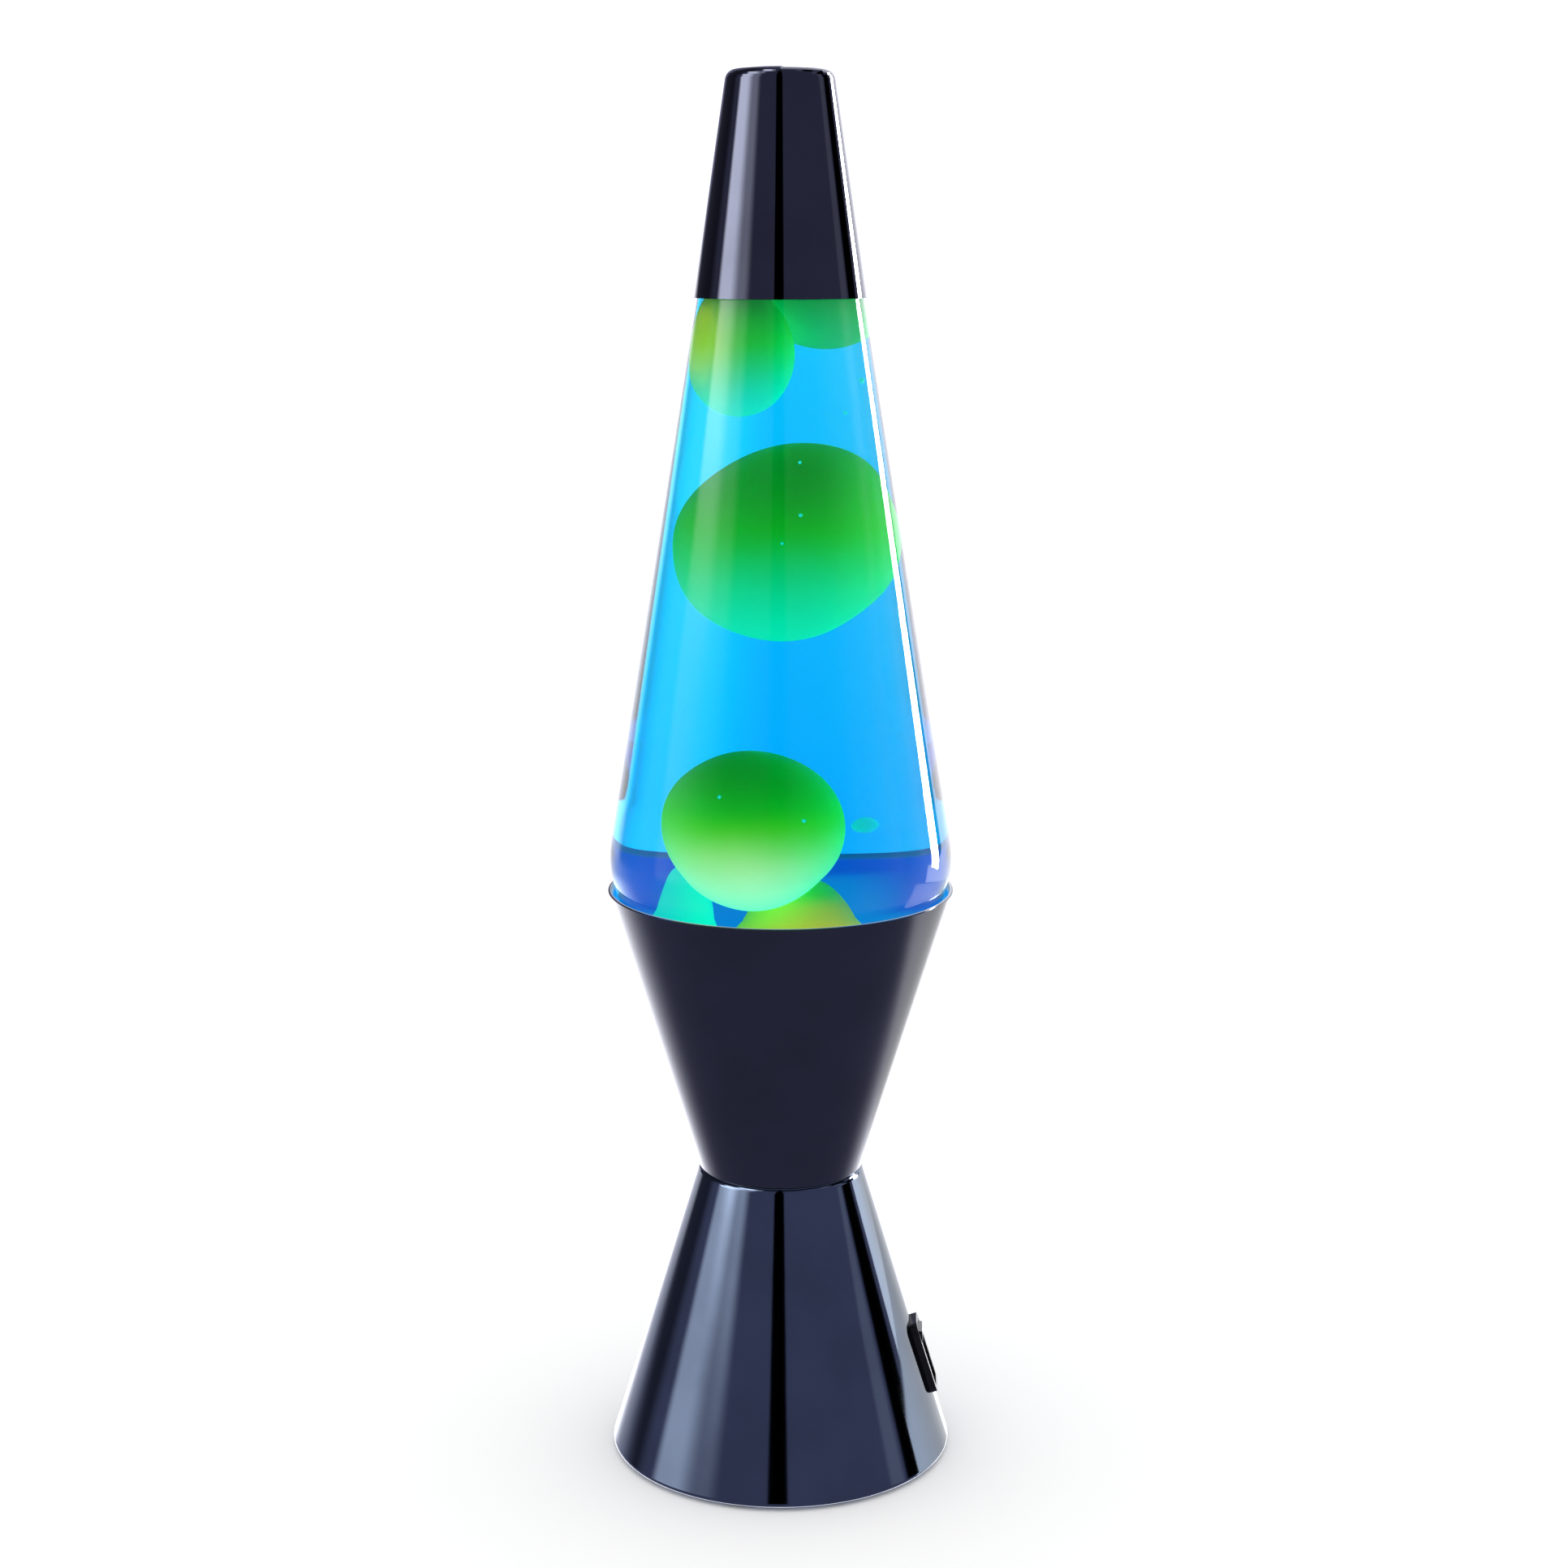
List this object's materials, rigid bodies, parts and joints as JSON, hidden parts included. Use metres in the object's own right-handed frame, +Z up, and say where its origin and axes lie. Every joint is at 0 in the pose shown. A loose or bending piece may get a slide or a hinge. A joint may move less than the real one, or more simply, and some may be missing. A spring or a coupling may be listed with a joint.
{
  "type": "lava lamp",
  "caption": "Table lamp with a tapered glass bottle of blue liquid and yellow wax, standing in a two-cone dark metal base and topped by a tapered metal cap.",
  "frame": {"origin": "centre of the footprint, on the table under the feet", "axes": "+Z up along the lamp's axis, -Y to the front, +X to the side with the switch"},
  "size_m": [0.0922, 0.0922, 0.3683],
  "materials": {
    "base_lacquer": "gloss",
    "cup_lacquer": "satin",
    "cap_lacquer": "gloss",
    "zinc_steel": "satin",
    "cover_paint": "satin",
    "porcelain": "gloss",
    "brass": "satin",
    "rubber_feet": "matte",
    "switch_plastic": "satin",
    "rocker_plastic": "gloss",
    "bush_plastic": "matte",
    "block_nylon": "matte",
    "brown_pvc": "satin",
    "blue_pvc": "satin",
    "earth_pvc": "satin",
    "bulb_glass": "gloss",
    "bulb_shell": "satin",
    "bulb_insulator": "gloss",
    "filament": "satin",
    "bottle_glass": "gloss",
    "tinplate": "gloss",
    "liner": "matte",
    "blue_liquid": "gloss",
    "coil_wire": "satin",
    "wax": "satin"
  },
  "bodies": {
    "base": {"lower_cone": "base_lacquer", "cup_cone": "cup_lacquer", "socket_plate": "zinc_steel", "waist_screws": "zinc_steel", "waist_nuts": "zinc_steel", "lamp_holder": "porcelain", "holder_thread": "brass", "holder_contact": "brass", "holder_screws": "zinc_steel", "bottom_cover": "cover_paint", "cover_screws": "zinc_steel", "feet": "rubber_feet", "switch_housing": "switch_plastic", "switch_terminals": "zinc_steel", "cord_bush": "bush_plastic", "terminal_block": "block_nylon", "terminal_clamps": "brass", "live_lead": "brown_pvc", "switched_lead": "brown_pvc", "neutral_lead": "blue_pvc", "earth_lead": "earth_pvc", "earth_screw": "zinc_steel"},
    "rocker": {"rocker": "rocker_plastic"},
    "bulb": {"bulb_glass": "bulb_glass", "bulb_shell": "bulb_shell", "bulb_insulator": "bulb_insulator", "bulb_contact": "bulb_shell", "bulb_filament": "filament"},
    "bottle": {"bottle": "bottle_glass", "crown": "tinplate", "crown_liner": "liner", "liquid": "blue_liquid", "heat_coil": "coil_wire", "wax_mound": "wax", "wax_upper_right": "wax", "wax_droplets": "wax"},
    "upper_wax": {"wax_upper": "wax"},
    "middle_wax": {"wax_middle": "wax"},
    "lower_wax": {"wax_lower": "wax"},
    "cap": {"top_cap": "cap_lacquer"}
  },
  "joints": [
    {"name": "rocker_tilt", "type": "hinge", "parent": "base", "child": "rocker", "pos_m": [0.03749, -0.00131, 0.02456], "axis": [-0.0349, -0.9994, 0], "range_deg": [0, 16]},
    {"name": "bulb_turn", "type": "hinge", "parent": "base", "child": "bulb", "pos_m": [0, 0, 0.07], "axis": [0, 0, 1], "continuous": true},
    {"name": "bottle_lift", "type": "slide", "parent": "base", "child": "bottle", "axis": [0, 0, 1], "range_m": [0, 0.08]},
    {"name": "cap_lift", "type": "slide", "parent": "bottle", "child": "cap", "axis": [0, 0, 1], "range_m": [0, 0.06]},
    {"name": "middle_wax_drift", "type": "slide", "parent": "bottle", "child": "middle_wax", "axis": [0, 0, 1], "range_m": [-0.008, 0.003], "deforming": ["liquid"]},
    {"name": "lower_wax_drift", "type": "slide", "parent": "bottle", "child": "lower_wax", "axis": [0, 0, 1], "range_m": [0, 0.012], "deforming": ["liquid"]},
    {"name": "upper_wax_drift", "type": "slide", "parent": "bottle", "child": "upper_wax", "axis": [0, 0, 1], "range_m": [-0.003, 0], "deforming": ["liquid"]}
  ]
}
